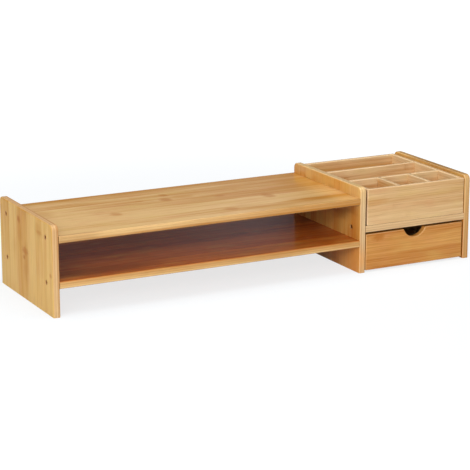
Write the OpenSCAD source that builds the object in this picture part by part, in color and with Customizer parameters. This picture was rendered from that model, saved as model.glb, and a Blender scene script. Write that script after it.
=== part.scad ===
// Bamboo laptop stand with a lift-out organizer tray over a drawer.
// X runs along the stand, -Y is the front and Z is up; the origin lies on the surface
// that the stand rests on, under the middle of its length and depth.

/* [Overall size] */
// Length over the outer faces of the two end panels
overall_w = 680; // [600:5:900]
// Depth of the panels, shelves and deck
overall_d = 200; // [180:5:280]
// Height of the three upright panels
panel_h = 130; // [122:1:170]

/* [Panels] */
// Thickness of each upright panel
panel_t = 10; // [8:0.5:14]
// Radius of the upper front and back corners of a panel
panel_corner_r = 8; // [4:0.5:16]
// Rounding of the long edges of a panel
panel_edge_r = 2; // [0.5:0.25:3.5]
// Clear width between the middle panel and the right panel
bay_w = 174; // [150:1:220]

/* [Shelves and deck] */
// Thickness of the two laptop shelves
shelf_t = 10; // [8:0.5:14]
// Height of the panel tops above the top shelf
top_shelf_drop = 16; // [10:1:24]
// Clear height under the lower shelf
lower_shelf_clear = 40; // [28:1:50]
// Thickness of the deck between drawer and tray
deck_t = 10; // [8:0.5:14]
// Clear height of the drawer bay under the deck
drawer_bay_h = 61; // [54:1:70]
// Rounding of the long edges of the shelves
shelf_edge_r = 2; // [0.5:0.25:3.5]
// Rounding of the long edges of the deck
deck_edge_r = 1.5; // [0.5:0.25:3.5]

/* [Organizer tray] */
// Height of the panel tops above the rim of the tray
tray_rim_drop = 4; // [1:0.5:12]
// Gap between the middle panel and the tray
tray_left_gap = 2.6; // [0.5:0.1:4]
// Gap between the tray and the right panel
tray_right_gap = 1.2; // [0.5:0.1:4]
// Distance from the tray to the back edge of the deck
tray_back_gap = 0.5; // [0:0.5:10]
// Thickness of the four tray walls
tray_wall_t = 6.5; // [5:0.5:9]
// Thickness of the tray dividers
tray_divider_t = 6; // [4:0.5:8]
// Thickness of the tray bottom
tray_bottom_t = 4; // [3:0.5:6]
// Height of the tray bottom above the deck
tray_bottom_lift = 3; // [2:0.5:6]
// Clear depth of the small compartments in the front row
front_row_d = 55; // [40:1:70]
// Clear depth of the long middle compartment
middle_row_d = 60; // [45:1:75]

/* [Drawer] */
// Gap between the middle panel and the drawer
drawer_left_gap = 1; // [0.5:0.1:3]
// Gap between the drawer and the right panel
drawer_right_gap = 2.5; // [0.5:0.1:3]
// Gap between the drawer front and the deck
drawer_top_gap = 3; // [2:0.5:5]
// Gap between the drawer front and the surface that the stand rests on
drawer_floor_gap = 3; // [1:0.5:5]
// Thickness of the drawer front
drawer_front_t = 10; // [8:0.5:14]
// Thickness of the drawer sides and back
drawer_wall_t = 7; // [5:0.5:8]
// Thickness of the drawer bottom
drawer_bottom_t = 4; // [3:0.5:6]
// Height of the drawer bottom above the lower edge of the drawer sides
drawer_bottom_lift = 3; // [2:0.5:6]
// Length of the drawer from its front face to the back of its box
drawer_d = 188; // [150:1:195]
// Step from the top of the drawer front down to the drawer sides
drawer_side_drop = 3; // [1:0.5:8]
// Radius of the finger notch
notch_r = 20; // [15:1:30]
// Depth of the finger notch below the top of the drawer front
notch_depth = 13; // [8:1:15]
// Rounding of the front and back edges of the finger notch
notch_edge_r = 1.5; // [0.5:0.25:2.5]

/* [Drawer runners] */
// Width of a runner batten
runner_w = 10; // [8.5:0.5:12]
// Height of a runner batten
runner_h = 8; // [7.5:0.5:10]
// Height of the underside of a runner above the resting surface
runner_lift = 1; // [0:0.5:3]
// Distance from a runner to the back edge of its panel
runner_back_inset = 6; // [0:1:20]

/* [Screws] */
// Diameter of a panel screw
screw_d = 4; // [3:0.5:5]
// Length of a panel screw
screw_len = 35; // [25:1:45]
// Diameter of the countersunk head of a panel screw
screw_head_d = 7; // [6:0.5:8]
// Depth of a panel screw's head below the face of the panel
screw_recess = 1; // [0.2:0.1:1.5]
// Width across the flats of the hexagon socket
screw_socket = 3; // [2:0.5:3.5]
// Distance of the screws from the front and back edges of a panel
screw_inset = 25; // [15:1:40]
// Diameter of a runner screw
runner_screw_d = 2.5; // [2:0.5:3]
// Length of a runner screw
runner_screw_len = 14; // [13:0.5:16]
// Diameter of the countersunk head of a runner screw
runner_head_d = 5; // [4.5:0.5:6]
// Distance of the runner screws from the ends of a runner
runner_screw_inset = 30; // [15:1:60]

/* [Fits] */
// Depth of the grooves that hold the bottoms and dividers
groove_d = 2.5; // [1.5:0.5:4]
// Clearance on each side of a board in its groove
groove_fit = 0.1; // [0.05:0.05:0.3]
// Clearance round a screw
screw_fit = 0.1; // [0.05:0.05:0.2]
// Clearance between the drawer and what it slides on or stops against
running_fit = 0.3; // [0.2:0.05:0.8]
// Rounding of the edges of drawer and tray boards
board_edge_r = 1.5; // [0.5:0.25:1.75]

/* [Hidden] */
$fn = 48;

// Bamboo as it shows on the different boards, and the screws
honey = [0.85, 0.62, 0.34];
pale_honey = [0.89, 0.70, 0.45];
straw = [0.88, 0.72, 0.46];
amber = [0.82, 0.56, 0.28];
dark_steel = [0.32, 0.31, 0.30];

// How far a cutter runs past the face that it opens
past = 1;

// Faces of the panels
x_left = -overall_w / 2;
x_left_in = x_left + panel_t;
x_right = overall_w / 2;
x_right_in = x_right - panel_t;
x_bay = x_right_in - bay_w;
x_mid = x_bay - panel_t;
y_front = -overall_d / 2;
y_back = overall_d / 2;

// Undersides of the shelves and the deck
z_top_shelf = panel_h - top_shelf_drop - shelf_t;
z_lower_shelf = lower_shelf_clear;
z_deck = drawer_bay_h;

// Tray, from its outer faces inwards
tray_x0 = x_bay + tray_left_gap;
tray_x1 = x_right_in - tray_right_gap;
tray_y1 = y_back - tray_back_gap;
tray_z0 = z_deck + deck_t;
tray_h = panel_h - tray_rim_drop - tray_z0;
tray_in_x0 = tray_x0 + tray_wall_t;
tray_in_x1 = tray_x1 - tray_wall_t;
tray_in_y0 = y_front + tray_wall_t;
tray_in_y1 = tray_y1 - tray_wall_t;
tray_bottom_z = tray_z0 + tray_bottom_lift;
tray_floor_z = tray_bottom_z + tray_bottom_t;
front_divider_y = tray_in_y0 + front_row_d;
rear_divider_y = front_divider_y + tray_divider_t + middle_row_d;
divider_h = tray_z0 + tray_h - tray_floor_z;
front_cells = 3;
cell_w = (tray_in_x1 - tray_in_x0 - (front_cells - 1) * tray_divider_t) / front_cells;
short_divider_len = front_row_d + 2 * (groove_d - groove_fit);

// Runners and drawer
runner_z = runner_lift;
runner_y0 = y_front + drawer_front_t + running_fit;
runner_len = y_back - runner_back_inset - runner_y0;
drawer_x0 = x_bay + drawer_left_gap;
drawer_x1 = x_right_in - drawer_right_gap;
drawer_box_y0 = y_front + drawer_front_t;
drawer_y1 = y_front + drawer_d;
drawer_front_h = drawer_bay_h - drawer_top_gap - drawer_floor_gap;
drawer_side_z = runner_z + runner_h + running_fit;
drawer_side_h = drawer_floor_gap + drawer_front_h - drawer_side_drop - drawer_side_z;
drawer_in_x0 = drawer_x0 + drawer_wall_t;
drawer_in_x1 = drawer_x1 - drawer_wall_t;
drawer_bottom_z = drawer_side_z + drawer_bottom_lift;

// ---- shared shapes ----

module rounded_rect(w, h, r) {
    translate([r, 0]) square([w - 2 * r, h]);
    translate([0, r]) square([w, h - 2 * r]);
    for (x = [r, w - r], y = [r, h - r]) translate([x, y]) circle(r);
}

// Board along X with its long edges rounded, from its lower front left corner
module board_x(len, d, h, r) {
    rotate([90, 0, 90]) linear_extrude(len) rounded_rect(d, h, r);
}

// Board along Y with its long edges rounded, from its lower front left corner
module board_y(len, w, h, r) {
    translate([0, len, 0]) rotate([90, 0, 0]) linear_extrude(len) rounded_rect(w, h, r);
}

// Board with all twelve edges rounded, from its lower front left corner
module rounded_board(size, r) {
    intersection() {
        board_x(size.x, size.y, size.z, r);
        board_y(size.y, size.x, size.z, r);
        linear_extrude(size.z) rounded_rect(size.x, size.y, r);
    }
}

// What rounding takes off a square corner that lies at the origin
module corner_waste(r) {
    difference() {
        translate([-past, -past]) square(r + past);
        translate([r, r]) circle(r);
    }
}

// The same along an edge that runs in +Y, with the board in +X and +Z of it
module edge_waste(len, r) {
    translate([0, len, 0]) rotate([90, 0, 0]) linear_extrude(len) corner_waste(r);
}

// Waste along the front, top and back of one face of a panel that lies flat
module face_edge_waste() {
    r = panel_corner_r;
    for (side = [0, 1]) translate([side * overall_d, 0, 0]) mirror([side, 0, 0]) {
        translate([0, -past, 0]) edge_waste(panel_h - r + past, panel_edge_r);
        translate([r, panel_h - r, 0]) rotate([0, 0, 90]) rotate_extrude(angle = 90)
            translate([r, 0]) mirror([1, 0]) corner_waste(panel_edge_r);
    }
    translate([r, panel_h, 0]) rotate([0, 0, -90]) edge_waste(overall_d - 2 * r, panel_edge_r);
}

module panel_outline() {
    r = panel_corner_r;
    square([overall_d, panel_h - r]);
    translate([r, 0]) square([overall_d - 2 * r, panel_h]);
    for (y = [r, overall_d - r]) translate([y, panel_h - r]) circle(r);
}

// Upright panel whose left face is at x
module upright_panel(x) {
    translate([x, y_front, 0]) rotate([90, 0, 90]) difference() {
        linear_extrude(panel_t) panel_outline();
        face_edge_waste();
        translate([0, 0, panel_t]) mirror([0, 0, 1]) face_edge_waste();
    }
}

// ---- screws ----

// Countersunk screw that points along +Z, with its head's top at the origin
module screw(d, len, head_d, socket) {
    head_h = (head_d - d) / 2;
    tip_h = d;
    difference() {
        union() {
            cylinder(h = head_h, d1 = head_d, d2 = d);
            cylinder(h = len - tip_h, d = d);
            translate([0, 0, len - tip_h]) cylinder(h = tip_h, d1 = d, d2 = d / 5);
        }
        translate([0, 0, -past]) cylinder(h = past + head_h, d = socket / cos(30), $fn = 6);
    }
}

// Hole for such a screw whose head's top lies at a depth below the face
module screw_hole(d, len, head_d, depth) {
    hole_d = d + 2 * screw_fit;
    mouth_d = head_d + 2 * screw_fit;
    translate([0, 0, -depth - past]) cylinder(h = depth + past, d = mouth_d);
    cylinder(h = (mouth_d - hole_d) / 2, d1 = mouth_d, d2 = hole_d);
    cylinder(h = len + screw_fit, d = hole_d);
}

module panel_screw() screw(screw_d, screw_len, screw_head_d, screw_socket);
module panel_screw_hole() screw_hole(screw_d, screw_len, screw_head_d, screw_recess);
module runner_screw() screw(runner_screw_d, runner_screw_len, runner_head_d, runner_screw_d * 0.6);
module runner_screw_hole() screw_hole(runner_screw_d, runner_screw_len, runner_head_d, screw_recess);

// Front and back places on the face at x, at each of the given heights; dir is +1 or -1
module along_x(x, dir, heights) {
    for (y = [y_front + screw_inset, y_back - screw_inset], z = heights)
        translate([x + dir * screw_recess, y, z]) rotate([0, dir * 90, 0]) children();
}

shelf_screw_heights = [z_lower_shelf + shelf_t / 2, z_top_shelf + shelf_t / 2];
deck_screw_heights = [z_deck + deck_t / 2];

module at_left_panel_screws() along_x(x_left, 1, shelf_screw_heights) children();
module at_middle_shelf_screws() along_x(x_bay, -1, shelf_screw_heights) children();
module at_middle_deck_screws() along_x(x_mid, 1, deck_screw_heights) children();
module at_right_deck_screws() along_x(x_right, -1, deck_screw_heights) children();

// Places on the inner side of the runner at a panel's face x; dir points into the panel
module at_runner_screws(x, dir) {
    for (y = [runner_y0 + runner_screw_inset, runner_y0 + runner_len - runner_screw_inset])
        translate([x - dir * (runner_w - screw_recess), y, runner_z + runner_h / 2])
            rotate([0, dir * 90, 0]) children();
}

// ---- stand ----

module left_side_panel() {
    color(honey) difference() {
        upright_panel(x_left);
        at_left_panel_screws() panel_screw_hole();
    }
}

module middle_panel() {
    color(honey) difference() {
        upright_panel(x_mid);
        at_middle_shelf_screws() panel_screw_hole();
        at_middle_deck_screws() panel_screw_hole();
        at_runner_screws(x_bay, -1) runner_screw_hole();
    }
}

module right_side_panel() {
    color(honey) difference() {
        upright_panel(x_right_in);
        at_right_deck_screws() panel_screw_hole();
        at_runner_screws(x_right_in, 1) runner_screw_hole();
    }
}

// Shelf between the left and middle panels, with its underside at z
module laptop_shelf(z) {
    difference() {
        translate([x_left_in, y_front, z])
            board_x(x_mid - x_left_in, overall_d, shelf_t, shelf_edge_r);
        at_left_panel_screws() panel_screw_hole();
        at_middle_shelf_screws() panel_screw_hole();
    }
}

module top_shelf() color(pale_honey) laptop_shelf(z_top_shelf);
module lower_shelf() color(pale_honey) laptop_shelf(z_lower_shelf);

module deck_board() {
    color(straw) difference() {
        translate([x_bay, y_front, z_deck]) board_x(bay_w, overall_d, deck_t, deck_edge_r);
        at_middle_deck_screws() panel_screw_hole();
        at_right_deck_screws() panel_screw_hole();
    }
}

// Batten on a panel's face x that carries one drawer side; dir points into the panel
module drawer_runner(x, dir) {
    color(amber) difference() {
        translate([dir > 0 ? x - runner_w : x, runner_y0, runner_z])
            rounded_board([runner_w, runner_len, runner_h], board_edge_r);
        at_runner_screws(x, dir) runner_screw_hole();
    }
}

module left_panel_screws() color(dark_steel) at_left_panel_screws() panel_screw();
module middle_panel_shelf_screws() color(dark_steel) at_middle_shelf_screws() panel_screw();
module middle_panel_deck_screws() color(dark_steel) at_middle_deck_screws() panel_screw();
module right_panel_deck_screws() color(dark_steel) at_right_deck_screws() panel_screw();
module left_runner_screws() color(dark_steel) at_runner_screws(x_bay, -1) runner_screw();
module right_runner_screws() color(dark_steel) at_runner_screws(x_right_in, 1) runner_screw();

// ---- organizer tray ----

// Board of the tray bottom; grow widens it to the groove that holds it
module tray_bottom_board(grow) {
    translate([tray_in_x0 - groove_d + groove_fit - grow, tray_in_y0 - groove_d + groove_fit - grow,
            tray_bottom_z])
        cube([tray_in_x1 - tray_in_x0 + 2 * (groove_d - groove_fit + grow),
            tray_in_y1 - tray_in_y0 + 2 * (groove_d - groove_fit + grow),
            tray_bottom_t + (grow > 0 ? groove_fit : 0)]);
}

// Divider across the tray whose front face is at y; grow widens it to its grooves
module long_divider(y, grow) {
    translate([tray_in_x0 - groove_d + groove_fit - grow, y - grow, tray_floor_z])
        board_x(tray_in_x1 - tray_in_x0 + 2 * (groove_d - groove_fit + grow),
            tray_divider_t + 2 * grow, divider_h + (grow > 0 ? past : 0), board_edge_r);
}

// Divider number i, counted from the left, between the cells of the front row
module short_divider(i, grow) {
    translate([tray_in_x0 + i * cell_w + (i - 1) * tray_divider_t - grow,
            tray_in_y0 - groove_d + groove_fit - grow, tray_floor_z])
        board_y(short_divider_len + 2 * grow, tray_divider_t + 2 * grow,
            divider_h + (grow > 0 ? past : 0), board_edge_r);
}

module short_divider_grooves() {
    for (i = [1 : front_cells - 1]) short_divider(i, groove_fit);
}

// Wall across the front or back of the tray, with its front face at y
module tray_cross_wall(y) {
    translate([tray_x0, y, tray_z0])
        rounded_board([tray_x1 - tray_x0, tray_wall_t, tray_h], board_edge_r);
}

module tray_front() {
    color(straw) difference() {
        tray_cross_wall(y_front);
        tray_bottom_board(groove_fit);
        short_divider_grooves();
    }
}

module tray_back() {
    color(straw) difference() {
        tray_cross_wall(tray_in_y1);
        tray_bottom_board(groove_fit);
    }
}

// Side wall of the tray, with its left face at x
module tray_side(x) {
    color(straw) difference() {
        translate([x, tray_in_y0, tray_z0])
            board_y(tray_in_y1 - tray_in_y0, tray_wall_t, tray_h, board_edge_r);
        tray_bottom_board(groove_fit);
        long_divider(front_divider_y, groove_fit);
        long_divider(rear_divider_y, groove_fit);
    }
}

module tray_bottom() color(pale_honey) tray_bottom_board(0);

module tray_front_divider() {
    color(straw) difference() {
        long_divider(front_divider_y, 0);
        short_divider_grooves();
    }
}

module tray_rear_divider() color(straw) long_divider(rear_divider_y, 0);

// ---- drawer ----

// Board of the drawer bottom; grow widens it to the groove that holds it
module drawer_bottom_board(grow) {
    reach = groove_d - groove_fit + grow;
    translate([drawer_in_x0 - reach, drawer_box_y0 - reach, drawer_bottom_z])
        cube([drawer_in_x1 - drawer_in_x0 + 2 * reach,
            drawer_y1 - drawer_wall_t - drawer_box_y0 + 2 * reach,
            drawer_bottom_t + (grow > 0 ? groove_fit : 0)]);
}

// What rounding takes off the edge of the notch; the notch's axis is +Z from its front face
module notch_edge_waste() rotate_extrude() translate([notch_r, 0]) corner_waste(notch_edge_r);

module drawer_front() {
    notch_z = drawer_floor_gap + drawer_front_h - notch_depth + notch_r;
    color(amber) difference() {
        translate([drawer_x0, y_front, drawer_floor_gap])
            rounded_board([drawer_x1 - drawer_x0, drawer_front_t, drawer_front_h], board_edge_r);
        translate([(drawer_x0 + drawer_x1) / 2, y_front, notch_z]) rotate([-90, 0, 0]) {
            translate([0, 0, -past]) cylinder(h = drawer_front_t + 2 * past, r = notch_r);
            notch_edge_waste();
            translate([0, 0, drawer_front_t]) mirror([0, 0, 1]) notch_edge_waste();
        }
        drawer_bottom_board(groove_fit);
    }
}

// Side of the drawer box, with its left face at x
module drawer_side(x) {
    color(pale_honey) difference() {
        translate([x, drawer_box_y0, drawer_side_z])
            board_y(drawer_y1 - drawer_box_y0, drawer_wall_t, drawer_side_h, board_edge_r);
        drawer_bottom_board(groove_fit);
    }
}

module drawer_back() {
    color(pale_honey) difference() {
        translate([drawer_in_x0, drawer_y1 - drawer_wall_t, drawer_side_z])
            board_x(drawer_in_x1 - drawer_in_x0, drawer_wall_t, drawer_side_h, board_edge_r);
        drawer_bottom_board(groove_fit);
    }
}

module drawer_bottom() color(straw) drawer_bottom_board(0);

// ---- what is drawn ----

left_side_panel();
middle_panel();
right_side_panel();
top_shelf();
lower_shelf();
deck_board();
drawer_runner(x_bay, -1);  // drawer_runner_left
drawer_runner(x_right_in, 1);  // drawer_runner_right
left_panel_screws();
middle_panel_shelf_screws();
middle_panel_deck_screws();
right_panel_deck_screws();
left_runner_screws();
right_runner_screws();
tray_front();
tray_back();
tray_side(tray_x0);  // tray_left_side
tray_side(tray_in_x1);  // tray_right_side
tray_bottom();
tray_front_divider();
tray_rear_divider();
color(straw) short_divider(1, 0);  // tray_short_divider_left
color(straw) short_divider(2, 0);  // tray_short_divider_right
drawer_front();
drawer_side(drawer_x0);  // drawer_left_side
drawer_side(drawer_in_x1);  // drawer_right_side
drawer_back();
drawer_bottom();
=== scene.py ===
"""Laptop stand with drawer: lacquered bamboo boards and bronzed screws on a pale studio floor.

Places of the lamps, the floor and the camera are in metres. Lengths inside the bamboo are in
millimetres, measured on each board from the lowest corner of its box, but for those marked m.
"""

import bpy
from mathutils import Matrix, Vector


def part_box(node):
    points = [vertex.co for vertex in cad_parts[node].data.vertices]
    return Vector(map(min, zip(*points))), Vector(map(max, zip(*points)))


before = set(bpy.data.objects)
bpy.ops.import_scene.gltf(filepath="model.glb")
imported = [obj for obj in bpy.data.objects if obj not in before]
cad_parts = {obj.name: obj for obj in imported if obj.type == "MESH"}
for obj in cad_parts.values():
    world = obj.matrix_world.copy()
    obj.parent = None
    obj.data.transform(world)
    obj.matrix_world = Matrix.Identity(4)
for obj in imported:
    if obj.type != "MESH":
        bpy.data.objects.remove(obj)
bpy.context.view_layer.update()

X, Y, Z = 0, 1, 2
MM = 1000.0  # millimetres in a metre


# ---------------------------------------------------------------- shader arithmetic

def srgb(red, green, blue):
    """A colour as a picture shows it, 0 to 255, in the linear numbers that a shader takes."""
    def linear(value):
        value /= 255.0
        return value / 12.92 if value <= 0.04045 else ((value + 0.055) / 1.055) ** 2.4
    return (linear(red), linear(green), linear(blue), 1.0)


class Field:
    """A number that changes over a surface. Arithmetic on it adds Math nodes to its material."""

    def __init__(self, tree, socket):
        self.tree = tree
        self.socket = socket

    def math(self, operation, *others):
        node = self.tree.nodes.new("ShaderNodeMath")
        node.operation = operation
        for value, place in zip((self, *others), node.inputs):
            plug(self.tree, value, place)
        return Field(self.tree, node.outputs[0])

    def __add__(self, other):
        return self.math("ADD", other)

    def __sub__(self, other):
        return self.math("SUBTRACT", other)

    def __mul__(self, other):
        return self.math("MULTIPLY", other)

    def __truediv__(self, other):
        return self.math("DIVIDE", other)

    def __pow__(self, other):
        return self.math("POWER", other)

    def __abs__(self):
        return self.math("ABSOLUTE")

    def floor(self):
        return self.math("FLOOR")

    def lower(self, other):
        return self.math("MINIMUM", other)

    def higher(self, other):
        return self.math("MAXIMUM", other)

    def smooth(self, start, end):
        """0 at start and 1 at end, with a soft step between them; start may be the larger."""
        node = self.tree.nodes.new("ShaderNodeMapRange")
        node.interpolation_type = "SMOOTHSTEP"
        plug(self.tree, self, node.inputs["Value"])
        node.inputs["From Min"].default_value = start
        node.inputs["From Max"].default_value = end
        return Field(self.tree, node.outputs["Result"])


def plug(tree, value, place):
    """Links a field to an input socket, or sets the plain value there."""
    if isinstance(value, Field):
        tree.links.new(value.socket, place)
    else:
        place.default_value = value


def vector(tree, *parts):
    """A vector of three fields or plain numbers."""
    node = tree.nodes.new("ShaderNodeCombineXYZ")
    for value, place in zip(parts, node.inputs):
        plug(tree, value, place)
    return Field(tree, node.outputs[0])


def parts_of(tree, whole):
    """The three fields that a vector is made of."""
    node = tree.nodes.new("ShaderNodeSeparateXYZ")
    tree.links.new(whole.socket, node.inputs[0])
    return [Field(tree, socket) for socket in node.outputs]


def noise(tree, place, detail=2.0, roughness=0.5):
    """Smooth noise from 0 to 1, about one blotch per unit of place."""
    node = tree.nodes.new("ShaderNodeTexNoise")
    plug(tree, place, node.inputs["Vector"])
    node.inputs["Scale"].default_value = 1.0
    node.inputs["Detail"].default_value = detail
    node.inputs["Roughness"].default_value = roughness
    return Field(tree, node.outputs["Fac"])


def dice(tree, *numbers):
    """Three random numbers from 0 to 1, the same wherever the given numbers are the same."""
    node = tree.nodes.new("ShaderNodeTexWhiteNoise")
    plug(tree, vector(tree, *numbers), node.inputs["Vector"])
    return parts_of(tree, Field(tree, node.outputs["Color"]))


def mixed(tree, first, second, amount):
    """The colour first where amount is 0 and second where it is 1."""
    node = tree.nodes.new("ShaderNodeMix")
    node.data_type = "RGBA"
    # of this node's many sockets, 6, 7 and output 2 are the ones for colours
    plug(tree, amount, node.inputs["Factor"])
    plug(tree, first, node.inputs[6])
    plug(tree, second, node.inputs[7])
    return Field(tree, node.outputs[2])


def curve(tree, place, length, points):
    """A smooth curve over place, from 0 to length, through points of (place, value)."""
    node = tree.nodes.new("ShaderNodeValToRGB")
    ramp = node.color_ramp
    ramp.interpolation = "EASE"
    while len(ramp.elements) < len(points):
        ramp.elements.new(0.5)
    for element, (at, value) in zip(ramp.elements, points):
        element.position = at / length
        element.color = (value, value, value, 1.0)
    plug(tree, place / length, node.inputs["Fac"])
    return Field(tree, node.outputs["Color"])


def coordinates(tree, kind="Object"):
    """x, y and z of a point in metres, or with Generated of a direction into the sky."""
    node = tree.nodes.new("ShaderNodeTexCoord")
    return parts_of(tree, Field(tree, node.outputs[kind]))


def bump(tree, shader, height, strength, distance):
    """Embosses the surface of a shader by a field; distance is in metres."""
    node = tree.nodes.new("ShaderNodeBump")
    node.inputs["Strength"].default_value = strength
    node.inputs["Distance"].default_value = distance
    plug(tree, height, node.inputs["Height"])
    tree.links.new(node.outputs["Normal"], shader.inputs["Normal"])


def empty_material(name):
    """A new material without nodes, and its node tree."""
    material = bpy.data.materials.new(name)
    material.use_nodes = True
    material.node_tree.nodes.clear()
    return material, material.node_tree


def surface(tree, shader):
    """Makes a shader the surface of its material."""
    output = tree.nodes.new("ShaderNodeOutputMaterial")
    tree.links.new(shader.outputs[0], output.inputs["Surface"])


# ---------------------------------------------------------------- bamboo

# Colours that are mixed into the boards' own
FIBRE = srgb(142, 96, 42)        # dark fibres of the grain
BLUSH = srgb(212, 136, 92)       # reddish blotches
STRAW = srgb(216, 186, 98)       # greenish blotches
NODE_BROWN = srgb(176, 103, 12)  # a node across a strip, or a small brown spot
STAIN = srgb(190, 126, 30)       # a golden stain
RUSSET_SHADE = srgb(128, 58, 10)       # red-brown painted shade
SAP = srgb(232, 192, 124)        # a pale place
WARM_BOUNCE_LIGHT = srgb(242, 163, 72)       # painted warm bounce light, bright orange
WORN_HIGHLIGHT = srgb(240, 212, 168)       # a worn, pale arris, partly a painted highlight
SHADED = srgb(166, 120, 66)      # painted shade along some arrises and in places, and a painted haze
GLUE = srgb(150, 98, 48)         # between strips and between plies
CREVICE_SHADE = srgb(84, 44, 14)       # painted shade deep in a joint

PLIES = 3
NODE_SPACING = 255.0    # mm between the nodes of one bamboo strip
NODE_LINE = 1.4         # mm, half the width of the line that a node draws across its strip
NODE_SHADE = 8.0        # mm, half the width of the soft shade at that line
STRIP_GLUE = 0.22       # share of the glue's colour between strips
PLY_GLUE = 0.35         # share of it between plies
CREVICE_SHADE_REACH = 0.005   # m, how far painted shade reaches from a joint
WOOD_RELIEF = 0.00015   # m, how deep fibres and glue lines lie


def patched(tree, colour, patch, along, across, through, fibre):
    """The colour with one more patch in it, which is ragged and has the grain running through."""
    shade, patch_along, patch_across, half_length, half_width, share = patch
    off_along = (along - patch_along) / half_length
    off_across = (across - patch_across) / half_width
    ragged = noise(tree, vector(tree, off_along * 1.5, off_across * 1.5, through), 2.0) - 0.5
    reach = (off_along ** 2.0 + off_across ** 2.0) ** 0.5 + ragged * 0.9 + (fibre - 0.5) * 0.9
    return mixed(tree, colour, shade, reach.smooth(1.2, 0.3) * share)


def bamboo(name, box, seed, grain, tone, strip, contrast, bands=((0, 0.45), (1, 0.45)), slope=0.0,
           nodes=0.8, edge_tone=None, edge=(0.3, 0.5, 0.3), arris=(WORN_HIGHLIGHT, 0.25), patches=(), gloss=0.3):
    """Three plies of bamboo strips, side by side across the board, under a satin lacquer.

    grain is the axis that the strips run along, and tone the board's palest and deepest colour.
    strip is the width of a strip in mm, and contrast how far the strips differ. bands is how deep
    the tone is across the board, as (mm, depth), slope how much deeper it is at the far end, and
    nodes how plain the nodes of the strips are. edge_tone is the palest and deepest colour of the
    narrow faces, edge how deep each ply is there, and arris the colour along the arrises and its
    share: a pale one paints wear and a highlight, a dull one shade. patches are the stains, nodes
    and pale places that this board shows, and the shade, haze and warm light painted on it, each as
    (colour, along, across, half length, half width, share), in mm from the board's lowest corner.
    gloss is the lacquer's specular level.
    """
    material, tree = empty_material(name)
    low, high = box
    size = [(h - l) * MM for l, h in zip(low, high)]
    thin = size.index(min(size))
    wide = 3 - grain - thin

    local = [(m - l) * MM for m, l in zip(coordinates(tree), low)]
    along, across, through = local[grain], local[wide], local[thin]

    def stretched(run, width, beside, start, detail, roughness=0.5):
        """Noise drawn out along the grain, about run mm long and width mm wide."""
        point = vector(tree, along / run + start, beside / width, through / width)
        return noise(tree, point, detail, roughness)

    # which strip and ply a point is in, and what that strip drew; the seed moves the first strip
    strips = across / strip + (0.37 + 0.11 * seed)
    number = strips.floor()
    in_strip = strips - number
    ply = (through * (PLIES / size[thin])).floor().higher(0.0).lower(PLIES - 1.0)
    tint, shift, warmth = dice(tree, number + 17.0 * seed, ply * 3.1, 5.0 + seed)

    # grain that wanders a little: fine fibres, lines, streaks and a slow drift of the tone
    start = shift * 40.0
    bend = (noise(tree, vector(tree, along / 70.0 + start, across / 24.0, seed), 1.0) - 0.5) * 5.0
    course = across + bend
    fibre = stretched(40.0, 1.0, course, start, 3.0, 0.6)
    line = stretched(110.0, 2.3, course, start, 2.0, 0.6)
    streak = stretched(190.0, 6.5, course, start, 2.0)
    drift = noise(tree, vector(tree, along / 150.0 + warmth, across / 50.0, through / 50.0 + seed), 1.0)
    hue = stretched(45.0, 16.0, across, seed, 1.0)

    # the wide faces: how deep the tone is, then the blotches of hue and the dark fibres
    lean = (along / size[grain] - 0.5) * slope
    depth = ((tint - 0.5) * contrast + (line - 0.5) * 1.5 + (streak - 0.5) * 1.5 + (drift - 0.5) * 0.9
             + lean + curve(tree, course, size[wide], bands))
    depth = depth.higher(0.0).lower(1.0)
    colour = mixed(tree, *tone, depth)
    colour = mixed(tree, colour, BLUSH, hue.smooth(0.5, 0.8) * 0.2)
    colour = mixed(tree, colour, STRAW, hue.smooth(0.5, 0.2) * 0.2)
    colour = mixed(tree, colour, FIBRE, fibre.smooth(0.5, 0.75) * 0.34)

    # nodes of the bamboo: a thin line across the strip in a soft brown shade
    node_place = along / NODE_SPACING + shift * 9.0
    node_number = node_place.floor()
    strength, _, _ = dice(tree, number + 3.0 * seed, node_number, ply + 11.0)
    waver = (noise(tree, vector(tree, across / 5.0, number, ply), 1.0) - 0.5) * 7.0
    from_node = (node_place - node_number - 0.5) * NODE_SPACING + waver
    node_line = (abs(from_node).smooth(NODE_LINE, 0.2) * 0.3
                 + abs(from_node - 2.0).smooth(NODE_SHADE, 0.0) * 0.4)
    colour = mixed(tree, colour, NODE_BROWN, node_line * (strength ** 3.0) * nodes)

    # 1 on the wide faces and 0 on the narrow ones, with a turn between them along each arris
    geometry = tree.nodes.new("ShaderNodeNewGeometry")
    facing = abs(parts_of(tree, Field(tree, geometry.outputs["Normal"]))[thin])
    turned = ((facing * facing) * -1.0 + 1.0).higher(0.0) ** 0.5

    # the plies on the narrow faces
    palest, deepest = edge_tone or tone
    edge_depth = (ply.lower(1.0) * (edge[1] - edge[0]) + (ply - 1.0).higher(0.0) * (edge[2] - edge[1])
                  + (line - 0.5) * 0.9 + lean + edge[0])
    edge_colour = mixed(tree, palest, deepest, edge_depth.higher(0.0).lower(1.0))
    edge_colour = mixed(tree, edge_colour, FIBRE, fibre.smooth(0.5, 0.75) * 0.25)
    colour = mixed(tree, colour, edge_colour, facing.smooth(0.85, 0.55))

    for patch in patches:
        colour = patched(tree, colour, patch, along, course, through, fibre)

    # glue lines between the strips and between the plies
    seam = abs(in_strip - 0.5).smooth(0.5 - 0.5 / strip, 0.5) * STRIP_GLUE
    ply_depth = size[thin] / PLIES
    from_ply = abs(through - ply_depth).lower(abs(through - (size[thin] - ply_depth)))
    seam = seam.higher(from_ply.smooth(0.6, 0.1) * PLY_GLUE)
    colour = mixed(tree, colour, GLUE, seam)
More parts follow.
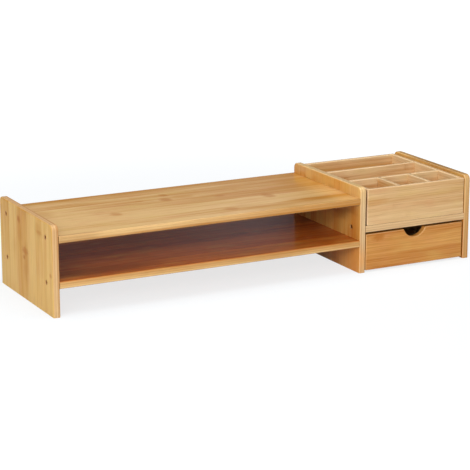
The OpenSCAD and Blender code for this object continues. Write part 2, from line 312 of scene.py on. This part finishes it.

    # another tone along the arrises: paler, for wear and a painted highlight, on most boards, and painted
    # shade on some; and painted shade in the joints
    arris_wear_and_light = (facing.lower(turned) + (fibre - 0.5) * 0.6).smooth(0.25, 0.65)
    colour = mixed(tree, colour, arris[0], arris_wear_and_light * (lean * 2.0 + 1.0) * arris[1])
    # painted shade: the wood darkens where a joint closes in on it
    hollow = tree.nodes.new("ShaderNodeAmbientOcclusion")
    hollow.inputs["Distance"].default_value = CREVICE_SHADE_REACH
    hollow.samples = 8
    opening = Field(tree, hollow.outputs["AO"])
    colour = mixed(tree, colour, CREVICE_SHADE, opening.smooth(0.55, 0.1) * 0.7)

    shader = tree.nodes.new("ShaderNodeBsdfPrincipled")
    shader.inputs["Specular IOR Level"].default_value = gloss
    plug(tree, colour, shader.inputs["Base Color"])
    plug(tree, fibre * 0.12 + arris_wear_and_light * 0.10 + 0.12, shader.inputs["Roughness"])
    bump(tree, shader, fibre * -0.5 - seam * 2.0 - node_line, 0.35, WOOD_RELIEF)
    surface(tree, shader)
    return material


# The palest and deepest colour of the wide faces, and below them those of the narrow faces
SIDE = (srgb(227, 185, 107), srgb(204, 144, 52))
SHELF = (srgb(229, 188, 126), srgb(196, 138, 62))
# the lower shelf's deep red tone is partly its wood and partly painted shade under the top shelf
LOWER = (srgb(202, 116, 40), srgb(168, 80, 14))
HONEY = (srgb(226, 173, 92), srgb(210, 132, 48))
AMBER = (srgb(220, 163, 86), srgb(187, 116, 40))
PALE = (srgb(226, 189, 136), srgb(204, 156, 98))
INNER = (srgb(234, 201, 151), srgb(202, 150, 92))

RIM = (srgb(240, 208, 164), srgb(226, 186, 136))
CREAM = (srgb(227, 193, 142), srgb(190, 134, 78))
GOLD = (srgb(230, 190, 128), srgb(187, 124, 50))

# What boards of a kind share: the sides and back of the drawer and its runners, the sides and
# dividers of the tray, and the bottoms
PLAIN = dict(tone=PALE, strip=12.0, contrast=0.5)
CELL = dict(tone=INNER, strip=12.0, contrast=0.5, bands=((0, 0.8), (34, 0.65), (44, 0.15), (52, 0.0)),
            edge_tone=RIM)
BOTTOM = dict(tone=PALE, strip=20.0, contrast=0.7)

BOARDS = {
    "left_side_panel": dict(
        seed=0, grain=Z, tone=SIDE, strip=17.0, contrast=0.4, nodes=0.3, gloss=0.08, slope=0.3,
        bands=((0, 0.15), (18, 0.22), (34, 0.4), (56, 0.35), (72, 0.12), (86, 0.22), (100, 0.65),
               (124, 0.62), (138, 0.15), (152, 0.0), (170, 0.3), (200, 0.3)),
        # the dull arrises are painted shade
        edge_tone=CREAM, edge=(0.35, 0.28, 0.7), arris=(SHADED, 0.15),
        patches=((STAIN, 96, 124, 34, 10, 0.5), (STAIN, 52, 101, 38, 11, 0.6),
                 (STAIN, 113, 51, 12, 13, 0.35), (NODE_BROWN, 112, 125, 6, 7, 0.85),
                 (NODE_BROWN, 71, 103, 7, 13, 0.7), (NODE_BROWN, 61, 108, 4, 5, 0.8),
                 (NODE_BROWN, 110, 47, 4, 10, 0.4), (NODE_BROWN, 58, 9, 4, 5, 0.5))),
    "middle_panel": dict(
        seed=1, grain=Z, tone=HONEY, strip=17.0, contrast=1.0, slope=-0.35, edge_tone=CREAM,
        edge=(0.35, 0.1, 0.05),
        # the red-brown patch is painted shade under the top shelf, and the orange one painted warm bounce
        # light low down
        patches=((SAP, 122, 14, 24, 24, 0.6), (SAP, 126, 160, 14, 40, 0.5),
                 (RUSSET_SHADE, 92, 70, 20, 60, 0.5), (WARM_BOUNCE_LIGHT, 20, 35, 28, 60, 0.6))),
    "right_side_panel": dict(
        seed=2, grain=Z, tone=HONEY, strip=17.0, contrast=0.8, slope=-0.5, edge_tone=GOLD,
        # the dull patch along the top is painted shade on the top face and its arrises
        edge=(0.4, 0.5, 0.6), patches=((SHADED, 130, 80, 5, 105, 0.6),)),
    "top_shelf": dict(
        seed=12, grain=X, tone=SHELF, strip=20.0, contrast=0.3, nodes=0.3, slope=0.75,
        bands=((0, 0.12), (10, 0.14), (26, 0.5), (37, 0.48), (49, 0.05), (62, 0.05), (82, 0.16),
               (98, 0.36), (112, 0.46), (126, 0.58), (139, 0.66), (152, 0.6), (165, 0.38),
               (180, 0.56), (192, 0.95)),
        # the dull arrises and the dull patch at the front of the left end are painted shade
        edge_tone=GOLD, edge=(0.85, 0.35, 0.25), arris=(SHADED, 0.5),
        patches=((STAIN, 430, 34, 76, 11, 0.5), (STAIN, 410, 3, 130, 7, 0.35),
                 (STAIN, 340, 16, 50, 12, 0.3), (SHADED, 20, 1, 52, 8, 0.45), (STAIN, 50, 190, 90, 9, 0.6),
                 (STAIN, 250, 133, 22, 12, 0.4), (STAIN, 22, 128, 26, 26, 0.25),
                 (NODE_BROWN, 120, 80, 10, 13, 0.4), (NODE_BROWN, 228, 153, 8, 10, 0.45),
                 (NODE_BROWN, 220, 127, 11, 13, 0.55), (NODE_BROWN, 366, 82, 11, 17, 0.5),
                 (NODE_BROWN, 280, 33, 13, 11, 0.4), (NODE_BROWN, 301, 112, 9, 6, 0.4),
                 (NODE_BROWN, 180, 134, 9, 5, 0.3), (NODE_BROWN, 352, 96, 90, 4, 0.3),
                 (NODE_BROWN, 130, 123, 90, 4, 0.22), (NODE_BROWN, 420, 37, 56, 4, 0.3),
                 (NODE_BROWN, 428, 29, 26, 6, 0.3))),
    "lower_shelf": dict(
        seed=4, grain=X, tone=LOWER, strip=20.0, contrast=0.6, slope=0.25, gloss=0.2,
        # the dull arrises are painted shade; the red-brown patches paint the left panel's shadow at the
        # front left, shade in the back right corner and along the front edge, and the dull patch a painted
        # haze
        edge_tone=GOLD, edge=(0.1, 0.5, 0.7), arris=(SHADED, 0.2),
        patches=((RUSSET_SHADE, 70, 30, 110, 22, 0.65), (RUSSET_SHADE, 440, 170, 90, 50, 0.5),
                 (RUSSET_SHADE, 230, 5, 900, 4.2, 0.45), (SHADED, 330, 20, 110, 22, 0.25))),
    "deck_board": dict(
        seed=5, grain=X, tone=PALE, strip=20.0, contrast=0.7, edge_tone=CREAM, edge=(0.3, 0.2, 0.2)),
    "drawer_runner_left": dict(seed=6, grain=Y, **PLAIN),
    "drawer_runner_right": dict(seed=7, grain=Y, **PLAIN),
    "tray_front": dict(
        seed=8, grain=X, tone=PALE, strip=8.0, contrast=0.3, nodes=0.2,
        bands=((0, 0.0), (5, 0.1), (11, 0.32), (20, 0.28), (29, 0.55), (38, 0.62), (46, 0.52),
               (53, 0.55)),
        edge_tone=RIM, patches=((STAIN, 12, 37, 32, 8, 0.3),)),
    "tray_back": dict(
        seed=9, grain=X, tone=INNER, strip=12.0, contrast=0.5,
        bands=((0, 1.0), (40, 0.95), (48, 0.6), (54, 0.2)), edge_tone=RIM),
    "tray_left_side": dict(seed=10, grain=Y, **CELL),
    "tray_right_side": dict(seed=11, grain=Y, **CELL),
    "tray_bottom": dict(seed=12, grain=X, **BOTTOM),
    "tray_front_divider": dict(seed=13, grain=X, **CELL),
    "tray_rear_divider": dict(seed=14, grain=X, **CELL),
    "tray_short_divider_left": dict(seed=15, grain=Y, **CELL),
    "tray_short_divider_right": dict(seed=16, grain=Y, **CELL),
    "drawer_front": dict(
        seed=17, grain=X, tone=AMBER, strip=9.0, contrast=0.4, nodes=0.3,
        # the deepest tone along the top is painted shade under the deck board
        bands=((0, 0.55), (12, 0.64), (19, 0.7), (30, 0.35), (38, 0.32), (44, 0.6), (49, 0.95),
               (55, 1.0)),
        patches=((NODE_BROWN, 22, 49, 13, 7, 0.75),)),
    "drawer_left_side": dict(seed=18, grain=Y, **PLAIN),
    "drawer_right_side": dict(seed=19, grain=Y, **PLAIN),
    "drawer_back": dict(seed=20, grain=X, **PLAIN),
    "drawer_bottom": dict(seed=21, grain=X, **BOTTOM),
}


# ---------------------------------------------------------------- screws

BRONZE = srgb(150, 100, 34)
RUBBED_BRONZE = srgb(192, 140, 66)
BLOTCHES = 900.0        # of grime, to a metre
STEEL_RELIEF = 0.00005  # m, how deep they lie


def bronzed_steel(name):
    """Screws of bronzed steel, brighter where the key has rubbed them."""
    material, tree = empty_material(name)
    grime = noise(tree, vector(tree, *(part * BLOTCHES for part in coordinates(tree))), 3.0)
    colour = mixed(tree, BRONZE, RUBBED_BRONZE, grime.smooth(0.4, 0.7))
    shader = tree.nodes.new("ShaderNodeBsdfPrincipled")
    plug(tree, colour, shader.inputs["Base Color"])
    shader.inputs["Metallic"].default_value = 1.0
    plug(tree, grime * 0.25 + 0.28, shader.inputs["Roughness"])
    bump(tree, shader, grime, 0.3, STEEL_RELIEF)
    surface(tree, shader)
    return material


def dress(node, material):
    """Gives a node's object one material."""
    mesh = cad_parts[node].data
    mesh.materials.clear()
    mesh.materials.append(material)


for node, looks in BOARDS.items():
    dress(node, bamboo("bamboo_" + node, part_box(node), **looks))

screw_steel = bronzed_steel("screw_steel")
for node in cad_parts:
    if node.endswith("_screws"):
        dress(node, screw_steel)


# ---------------------------------------------------------------- floor, light and camera

FLOOR_SIZE = 60.0
SEEN_GLOW = 0.755     # the glow of the floor that the camera sees
SEEN_FAR_GLOW = 0.3   # what it gains far off, where the lamps light that floor less
SEEN_COLOUR = (0.216, 0.235, 0.247, 1.0)  # what lamps and sky add, and a shadow takes away
MIRRORED = 0.3        # share of that floor in what the lacquer mirrors
UNSEEN_PALE = 0.75    # how pale the other floor is, which lights the object
UNSEEN_DARKER = 0.55  # how much less pale it is behind the object


def floor():
    """A floor that the camera sees white but for the object's shadow.

    What lights the object is another, unseen floor: pale, and darker behind the object.
    """
    bpy.ops.mesh.primitive_plane_add(size=FLOOR_SIZE)
    plane = bpy.context.object
    plane.name = "studio_floor"
    material, tree = empty_material("studio_floor")
    x, y, _ = coordinates(tree)
    distance = (x * x + y * y) ** 0.5
    glow = tree.nodes.new("ShaderNodeEmission")
    plug(tree, distance.smooth(0.45, 1.6) * SEEN_FAR_GLOW + SEEN_GLOW, glow.inputs["Strength"])
    shadowed = tree.nodes.new("ShaderNodeBsdfDiffuse")
    shadowed.inputs["Color"].default_value = SEEN_COLOUR
    seen = tree.nodes.new("ShaderNodeAddShader")
    tree.links.new(glow.outputs[0], seen.inputs[0])
    tree.links.new(shadowed.outputs[0], seen.inputs[1])
    bounce = tree.nodes.new("ShaderNodeBsdfDiffuse")
    pale = y.smooth(0.05, 0.4) * x.smooth(-0.5, -0.34) * -UNSEEN_DARKER + UNSEEN_PALE
    plug(tree, vector(tree, pale, pale, pale), bounce.inputs["Color"])
    rays = tree.nodes.new("ShaderNodeLightPath")
    is_seen = Field(tree, rays.outputs["Is Camera Ray"])
    for kind, share in (("Is Glossy Ray", MIRRORED), ("Is Transmission Ray", 1.0)):
        is_seen = is_seen.higher(Field(tree, rays.outputs[kind]) * share)
    choice = tree.nodes.new("ShaderNodeMixShader")
    plug(tree, is_seen, choice.inputs[0])
    tree.links.new(bounce.outputs[0], choice.inputs[1])
    tree.links.new(seen.outputs[0], choice.inputs[2])
    surface(tree, choice)
    plane.data.materials.append(material)


def softbox(name, place, target, width, height, watts):
    """A white area lamp at place, facing target."""
    data = bpy.data.lights.new(name, "AREA")
    data.shape = "RECTANGLE"
    data.size = width
    data.size_y = height
    data.energy = watts
    lamp = bpy.data.objects.new(name, data)
    lamp.location = place
    lamp.rotation_euler = (Vector(target) - Vector(place)).to_track_quat("-Z", "Y").to_euler()
    lamp.visible_camera = False
    bpy.context.scene.collection.objects.link(lamp)


SKY_WHITE = (0.94, 0.95, 1.0, 1.0)
SKY_OVERHEAD = 0.7
SKY_LOW = 0.2          # near the horizon in front of the object
SKY_BEHIND = 0.13      # near the horizon behind it
SKY_BEHIND_RISE = 0.2  # what that gains just left of the dark patch
# x and y of the way to the right of the patch's left edge, which lies 29.4 degrees from the y axis
RIGHTWARD = (0.871, -0.491)


def sky():
    """A soft studio: bright overhead, dim near the horizon, with a dark patch behind on the right."""
    world = bpy.data.worlds.new("studio")
    world.use_nodes = True
    tree = world.node_tree
    tree.nodes.clear()
    x, y, up = coordinates(tree, "Generated")
    right = x * RIGHTWARD[0] + y * RIGHTWARD[1]
    dark = right.smooth(-0.003, 0.004) * right.smooth(0.45, 0.3)
    behind = (right.smooth(-0.1, 0.0) * SKY_BEHIND_RISE + SKY_BEHIND) * (dark * -1.0 + 1.0)
    is_behind = y.smooth(0.0, 0.2)
    low = (behind - SKY_LOW) * is_behind + SKY_LOW
    height = (up - is_behind * 0.2).smooth(0.35, 0.85)
    glow = tree.nodes.new("ShaderNodeBackground")
    glow.inputs["Color"].default_value = SKY_WHITE
    plug(tree, height * (low * -1.0 + SKY_OVERHEAD) + low, glow.inputs["Strength"])
    output = tree.nodes.new("ShaderNodeOutputWorld")
    tree.links.new(glow.outputs[0], output.inputs["Surface"])
    bpy.context.scene.world = world


def camera(place, direction, lens):
    """A camera without roll, looking along direction; lens is in mm."""
    data = bpy.data.cameras.new("camera")
    data.sensor_width = 36.0
    data.lens = lens
    data.clip_start = 0.05
    taken = bpy.data.objects.new("camera", data)
    taken.location = place
    taken.rotation_euler = Vector(direction).to_track_quat("-Z", "Y").to_euler()
    bpy.context.scene.collection.objects.link(taken)
    bpy.context.scene.camera = taken


floor()
sky()
softbox("overhead", place=(0.0, -0.25, 1.7), target=(0.0, 0.0, 0.0),
        width=2.2, height=1.3, watts=18.0)
softbox("front_left", place=(-1.5, -1.75, 1.0), target=(0.0, 0.0, 0.08),
        width=2.4, height=0.7, watts=38.0)
# fitted to the edges and corners that the photograph shows
camera(place=(-1.22693, -2.33249, 0.74257), direction=(0.44766, 0.85767, -0.25297), lens=140.441)

bpy.context.scene.view_settings.view_transform = "Standard"
